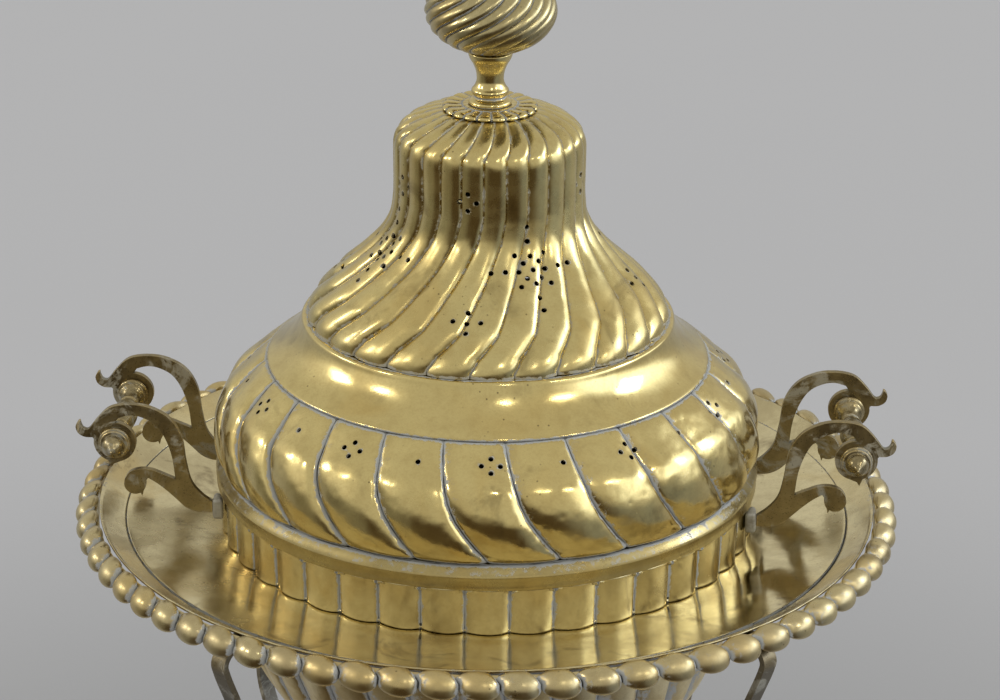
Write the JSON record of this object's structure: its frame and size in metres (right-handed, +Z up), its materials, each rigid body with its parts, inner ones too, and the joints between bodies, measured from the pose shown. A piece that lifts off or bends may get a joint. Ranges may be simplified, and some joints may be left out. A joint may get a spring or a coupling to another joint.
{
  "type": "lidded brass brazier",
  "caption": "Standing brass brazier: domed foot and bowl carry a round tray, a fluted fire pan with turned side grips and a tall pierced, gadrooned cover.",
  "frame": {"origin": "centre of the foot ring's underside, on the floor", "axes": "+Z up along the turning axis, X through the two grips, -Y the front"},
  "size_m": [0.65, 0.65, 0.9043],
  "materials": {
    "polished_brass": "aged polished brass with pale residue in the grooves",
    "tray_brass": "polished, nearly mirror-like, with dark tarnish smudges",
    "amber_brass": "darker amber tarnish",
    "dark_patina": "dark brown patina, brighter on the edges",
    "grip_brass": "worn turned brass with dark grooves",
    "grey_residue": "dull grey, covered with polish residue",
    "sooted_iron": "sooted and ashy",
    "plain_steel": "plain, slightly rusted"
  },
  "bodies": {
    "stand": {"foot_ring": "polished_brass", "foot_dome": "amber_brass", "stem_lower": "polished_brass", "stem_knob": "polished_brass", "stem_upper": "polished_brass", "stand_bowl": "amber_brass", "tray": "tray_brass", "tray_bead": "polished_brass", "leg_1": "dark_patina", "leg_2": "dark_patina", "leg_3": "dark_patina", "leg_4": "dark_patina", "leg_rivet_1": "dark_patina", "leg_rivet_2": "dark_patina", "leg_rivet_3": "dark_patina", "leg_rivet_4": "dark_patina", "tie_rod": "plain_steel", "tie_washer_lower": "plain_steel", "tie_nut_lower": "plain_steel", "tie_washer_upper": "plain_steel", "tie_nut_upper": "plain_steel"},
    "pan": {"pan_wall": "polished_brass", "fire_bowl": "sooted_iron", "boss_left_front": "grey_residue", "boss_left_back": "grey_residue", "boss_right_front": "grey_residue", "boss_right_back": "grey_residue", "bracket_left_front": "dark_patina", "bracket_left_back": "dark_patina", "bracket_right_front": "dark_patina", "bracket_right_back": "dark_patina", "grip_rod_left": "plain_steel", "grip_rod_right": "plain_steel", "acorn_left_front": "grip_brass", "acorn_left_back": "grip_brass", "acorn_right_front": "grip_brass", "acorn_right_back": "grip_brass"},
    "grip_left": {"grip_left": "grip_brass"},
    "grip_right": {"grip_right": "grip_brass"},
    "cover": {"cover_base_band": "polished_brass", "gadroon_ring": "polished_brass", "cavetto_ring": "polished_brass", "bell": "polished_brass", "rosette": "polished_brass", "finial_stem": "polished_brass", "finial_bulb": "polished_brass", "finial_tip": "polished_brass", "finial_stud": "plain_steel", "finial_washer": "plain_steel", "finial_nut": "plain_steel"}
  },
  "joints": [
    {"name": "pan_lift", "type": "slide", "parent": "stand", "child": "pan", "axis": [0, 0, 1], "range_m": [0, 0.18]},
    {"name": "cover_lift", "type": "slide", "parent": "pan", "child": "cover", "axis": [0, 0, 1], "range_m": [0, 0.26]},
    {"name": "grip_left_spin", "type": "hinge", "parent": "pan", "child": "grip_left", "pos_m": [-0.2873, 0, 0.4984], "axis": [0, 1, 0], "continuous": true},
    {"name": "grip_right_spin", "type": "hinge", "parent": "pan", "child": "grip_right", "pos_m": [0.2873, 0, 0.4984], "axis": [0, 1, 0], "continuous": true}
  ]
}
